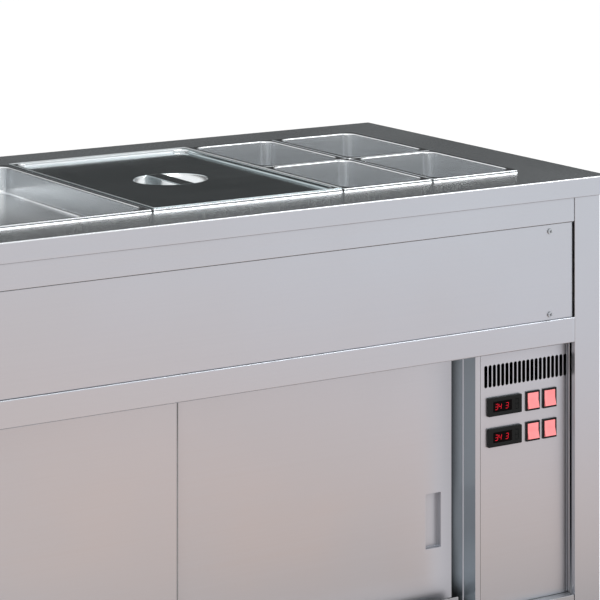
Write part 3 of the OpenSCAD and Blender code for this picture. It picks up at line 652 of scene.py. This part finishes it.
def extruded(name, section, stations, axis, *materials, origin=(0, 0)):
    """Open strip with an (across, z) section, drawn along X or Y through the stations."""
    n = len(section)
    points = []
    for at in stations:
        for across, z in section:
            a, h = across + origin[0], z + origin[1]
            points.append((at, a, h) if axis == "X" else (a, at, h))
    faces = [(k * n + i, k * n + i + 1, (k + 1) * n + i + 1, (k + 1) * n + i)
             for k in range(len(stations) - 1) for i in range(n - 1)]
    return mesh_object(name, points, faces, *materials)


lid_shape()


# ---- Folded sheets: worktop, rails and fascia ----

def worktop_shape():
    """One folded sheet with rounded folds and a dressed cut-out edge."""
    low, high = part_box("worktop")
    hw, hl, top, base = high[0] / MM, high[1] / MM, high[2] / MM, low[2] / MM
    centre, tank_w, tank_l = plan("well_tank")
    flange = 12
    cut_w, cut_l = tank_w - flange, tank_l - flange
    fold = 1.8
    rings = [ring(hw - 14, hl - 14, 1, base + 0.4), ring(hw - fold, hl - fold, 2, base + 0.05)]
    under = 0.7
    for c, s in arc(under, -90, 0, 3):
        rings.append(ring(hw - under + c, hl - under + c, 2.5, base + under + s))
    # The rolled fold from here takes the painted-highlight steel.
    highlight_from = len(rings)
    for c, s in arc(fold, 0, 90, 5):
        rings.append(ring(hw - fold + c, hl - fold + c, 2.5, top - fold + s))
    flats = len(rings) - 2
    for t in (0.06, 0.5, 0.94):
        across = hw - fold - t * (hw - cut_w - fold)
        deep = hl - fold - t * (hl - cut_l - fold)
        rings.append(ring(across, deep, 2.5 + t * 20, top))
    for c, s in arc(0.8, 90, 0, 3):
        rings.append(ring(cut_w + 0.8 - c, cut_l + 0.8 - c, 24, top - 0.8 + s))
    rings.append(ring(cut_w, cut_l, 24, top - 1.4))
    obj = loft("worktop_sheet", rings, 1.4, cabinet, fold_highlight, top_steel, cap=False,
               bands=(highlight_from, flats))
    attach(obj, "counter", "worktop_steel", "worktop")


def folded_rail(name, node, y_front, y_back, radius):
    """Channel rail with rolled folds at its front corners, open towards the back."""
    low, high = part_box(node)
    z0, z1 = low[2] / MM, high[2] / MM
    facing = 1 if y_back > y_front else -1
    section = [(y_back, z1)]
    for c, s in arc(radius, 90, 180, 5):
        section.append((y_front + facing * (radius + c), z1 - radius + s))
    section.append((y_front, (z0 + z1) / 2))
    for c, s in arc(radius, 180, 270, 5):
        section.append((y_front + facing * (radius + c), z0 + radius + s))
    section.append((y_back, z0))
    x0, x1 = low[0] / MM, high[0] / MM
    obj = extruded(name, section, (x0, x0 + 6, (x0 + x1) / 2, x1 - 6, x1), "X", cabinet)
    as_sheet(obj, 1.4, offset=-1 if facing > 0 else 1)
    attach(obj, "counter", "cabinet_steel", node)


worktop_shape()
low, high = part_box("upper_rails")
folded_rail("upper_rail_front", "upper_rails", low[1] / MM, low[1] / MM + 25, 0.9)
folded_rail("upper_rail_back", "upper_rails", high[1] / MM, high[1] / MM - 25, 0.9)
low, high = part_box("mid_rail_front")
folded_rail("mid_rail_folded", "mid_rail_front", low[1] / MM, high[1] / MM, 1.7)
low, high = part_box("fascia_panel")
folded_rail("fascia_folded", "fascia_panel", low[1] / MM, high[1] / MM, 0.6)


def door_edge_shade_strip():
    """Dark grey strip clipped over the front door's inner edge: painted shade, the shadow line beside the
    rear door.
    """
    low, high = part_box("door_left_skin")
    x, y, z0, z1 = high[0] / MM, low[1] / MM, low[2] / MM + 12, high[2] / MM - 2
    outline = [(x - 1.9, y - 0.3), (x - 0.4, y - 0.4), (x + 0.02, y + 0.2), (x + 0.02, y + 9)]
    points = [(px, py, z) for z in (z0, (z0 + z1) / 2, z1) for px, py in outline]
    faces = [(k * 4 + i, k * 4 + i + 1, k * 4 + i + 5, k * 4 + i + 4) for k in range(2) for i in range(3)]
    shade_strip = mesh_object("door_left_shade_strip", points, faces, door_strip_shade)
    as_sheet(shade_strip, 0.2, offset=1)
    attach(shade_strip, "door_left", "black_plastic")


door_edge_shade_strip()


# ---- Display numerals: slanted seven-segment bars ----

def bar(x, z, length, upright, y):
    t = 0.34
    h = length / 2
    shape = [(-h, 0), (-h + t, t), (h - t, t), (h, 0), (h - t, -t), (-h + t, -t)]
    out = []
    for a, b in shape:
        px, pz = (x + b, z + a) if upright else (x + a, z + b)
        out.append((px, y, pz))
    return out


def numerals():
    low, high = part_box("display_windows")
    y = low[1] / MM - 0.06
    left = low[0] / MM
    patterns = {
        3: ((0, 1, 0), (0, 0, 0), (0, -1, 0), (1, 0.5, 1), (1, -0.5, 1)),
        4: ((-1, 0.5, 1), (0, 0, 0), (1, 0.5, 1), (1, -0.5, 1)),
    }
    points, faces = [], []
    half_h, half_w = 4.2, 2.3
    for z0 in (low[2] / MM + 7.8, high[2] / MM - 7.8):
        for number, x0 in ((3, left + 5.8), (4, left + 12.3), (3, left + 25.3)):
            for bx, bz, upright in patterns[number]:
                length = (half_h if upright else 2 * half_w) - 0.35
                outline = bar(bx * half_w, bz * half_h, length, upright, y)
                start = len(points)
                points += [(x0 + px + 0.14 * pz, py, z0 + pz) for px, py, pz in outline]
                faces.append([start + i for i in range(6)])
    obj = mesh_object("display_numerals", points, faces, by_slot["display_light"])
    solid = obj.modifiers.new("thick", "SOLIDIFY")
    solid.thickness = 0.00012
    solid.offset = 0
    attach(obj, "counter", "display_light", "display_digits")


numerals()


# ---- Floor, world and lights ----

def floor():
    points = [(-30000, -30000, 0), (30000, -30000, 0), (30000, 30000, 0), (-30000, 30000, 0)]
    mat, tree, shader = new_material("pale_floor")
    out = next(n for n in tree.nodes if n.type == "OUTPUT_MATERIAL")
    shader.inputs["Base Color"].default_value = (0.93, 0.93, 0.93, 1)
    shader.inputs["Roughness"].default_value = 0.9
    shader.inputs["Specular IOR Level"].default_value = 0.0
    # Painted reflection: glossy rays see the floor glow with a warm-to-cool colour ramp, dimmed near the unit
    # as painted shade; other rays see the pale diffuse floor.
    path = add(tree, "ShaderNodeLightPath")
    position = add(tree, "ShaderNodeNewGeometry").outputs["Position"]
    parts = add(tree, "ShaderNodeSeparateXYZ")
    tree.links.new(position, parts.inputs[0])
    across = maths(tree, "ADD", maths(tree, "MULTIPLY", parts.outputs["X"], 0.62),
                   maths(tree, "MULTIPLY", parts.outputs["Y"], -0.38))
    ramp = add(tree, "ShaderNodeValToRGB")
    reach = 4.0
    stops = ((0.25, (0.86, 0.86, 0.87)), (0.85, (0.98, 0.70, 0.55)), (1.4, (0.89, 0.71, 0.625)),
             (1.95, (0.78, 0.745, 0.80)), (2.35, (0.81, 0.83, 0.93)), (2.85, (1.0, 1.03, 1.05)))
    while len(ramp.color_ramp.elements) < len(stops):
        ramp.color_ramp.elements.new(0.5)
    for element, (place, colour) in zip(ramp.color_ramp.elements, stops):
        element.position = place / reach
        element.color = (*colour, 1)
    tree.links.new(maths(tree, "DIVIDE", across, reach), ramp.inputs["Fac"])
    front = add(tree, "ShaderNodeMapRange")
    front.inputs["From Min"].default_value = 0.3
    front.inputs["From Max"].default_value = -0.9
    tree.links.new(parts.outputs["Y"], front.inputs["Value"])
    beside = maths(tree, "SUBTRACT", maths(tree, "ABSOLUTE", parts.outputs["X"], 0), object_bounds()[1][0])
    before = maths(tree, "SUBTRACT", maths(tree, "ABSOLUTE", parts.outputs["Y"], 0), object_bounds()[1][1])
    clear = add(tree, "ShaderNodeMapRange")
    clear.inputs["From Min"].default_value = 0.2
    clear.inputs["From Max"].default_value = 0.9
    tree.links.new(maths(tree, "MAXIMUM", beside, before), clear.inputs["Value"])
    tone = add(tree, "ShaderNodeMix", data_type="RGBA")
    tone.inputs[MIX_A].default_value = (0.90, 0.90, 0.91, 1)
    tree.links.new(maths(tree, "MULTIPLY", front.outputs["Result"], clear.outputs["Result"]), tone.inputs[0])
    tree.links.new(ramp.outputs["Color"], tone.inputs[MIX_B])
    glow = add(tree, "ShaderNodeEmission")
    tree.links.new(tone.outputs[MIX_RESULT], glow.inputs["Color"])
    shaded = maths(tree, "MULTIPLY", clear.outputs["Result"], 0.6)
    tree.links.new(maths(tree, "ADD", shaded, 0.4), glow.inputs["Strength"])
    mix = add(tree, "ShaderNodeMixShader")
    tree.links.new(path.outputs["Is Glossy Ray"], mix.inputs[0])
    tree.links.new(shader.outputs[0], mix.inputs[1])
    tree.links.new(glow.outputs[0], mix.inputs[2])
    tree.links.new(mix.outputs[0], out.inputs["Surface"])
    mesh_object("floor", points, [(0, 1, 2, 3)], mat)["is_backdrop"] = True


def world():
    sky = bpy.data.worlds.new("studio")
    bpy.context.scene.world = sky
    sky.use_nodes = True
    sky.cycles.sampling_method = "NONE"
    tree = sky.node_tree
    tree.nodes.clear()
    out = add(tree, "ShaderNodeOutputWorld")
    direction = add(tree, "ShaderNodeTexCoord").outputs["Generated"]
    parts = add(tree, "ShaderNodeSeparateXYZ")
    tree.links.new(direction, parts.inputs[0])
    path = add(tree, "ShaderNodeLightPath")

    def ramp(value, a, b, lo, hi):
        node = add(tree, "ShaderNodeMapRange", interpolation_type="SMOOTHSTEP")
        for key, v in (("From Min", a), ("From Max", b), ("To Min", lo), ("To Max", hi)):
            node.inputs[key].default_value = v
        tree.links.new(value, node.inputs["Value"])
        return node.outputs["Result"]

    behind = ramp(parts.outputs["Y"], -0.15, 0.35, 0, 1)
    dark_side = ramp(parts.outputs["Z"], 0.20, 0.55, 0.05, 0.95)
    light_side = ramp(parts.outputs["Z"], 0.0, 0.6, 0.70, 0.95)
    level = add(tree, "ShaderNodeMix", data_type="FLOAT")
    tree.links.new(behind, level.inputs[0])
    tree.links.new(light_side, level.inputs[2])
    tree.links.new(dark_side, level.inputs[3])
    glossy = add(tree, "ShaderNodeBackground")
    glossy.inputs["Color"].default_value = (0.97, 0.99, 1.0, 1)
    tree.links.new(level.outputs[0], glossy.inputs["Strength"])
    plain = add(tree, "ShaderNodeBackground")
    plain.inputs["Color"].default_value = (1, 1, 1, 1)
    plain.inputs["Strength"].default_value = 1.08
    mix = add(tree, "ShaderNodeMixShader")
    tree.links.new(path.outputs["Is Glossy Ray"], mix.inputs[0])
    tree.links.new(plain.outputs[0], mix.inputs[1])
    tree.links.new(glossy.outputs[0], mix.inputs[2])
    tree.links.new(mix.outputs[0], out.inputs["Surface"])


def area(name, place, target, size, power, colour=(1, 1, 1)):
    data = bpy.data.lights.new(name, "AREA")
    data.shape = "RECTANGLE"
    data.size, data.size_y = size
    data.energy = power
    data.color = colour
    lamp = bpy.data.objects.new(name, data)
    lamp.location = place
    lamp.rotation_euler = (Vector(target) - Vector(place)).to_track_quat("-Z", "Y").to_euler()
    bpy.context.scene.collection.objects.link(lamp)


def camera():
    data = bpy.data.cameras.new("camera")
    data.sensor_width = 36
    data.lens = 169.91
    cam = bpy.data.objects.new("camera", data)
    station = Vector((-1.8904, -4.0523, 1.5591))
    cam.location = station
    cam.rotation_euler = (math.radians(90), 0, math.radians(-35.53))
    data.clip_end = 200
    bpy.context.scene.collection.objects.link(cam)
    bpy.context.scene.camera = cam
    for prop, value in (("shift_x", -0.50347), ("shift_y", -0.94779)):
        setattr(data, prop, value)
        driver = data.driver_add(prop).driver
        driver.type = "SCRIPTED"
        var = driver.variables.new()
        var.name = "x"
        var.type = "TRANSFORMS"
        var.targets[0].id = cam
        var.targets[0].transform_type = "LOC_X"
        var.targets[0].transform_space = "WORLD_SPACE"
        driver.expression = "%.5f if abs(x - %.4f) < 0.001 else 0" % (value, station.x)


floor()
world()
area("key", (-1.6, -2.6, 3.4), (0, 0, 0.7), (2.4, 1.6), 55, (1.0, 0.99, 0.97))
area("strip", (2.2, -1.2, 3.0), (0.2, 0, 0.85), (0.5, 2.6), 25, (0.95, 0.97, 1.0))
camera()
bpy.context.scene.view_settings.view_transform = "Standard"
bpy.context.scene.view_settings.look = "None"
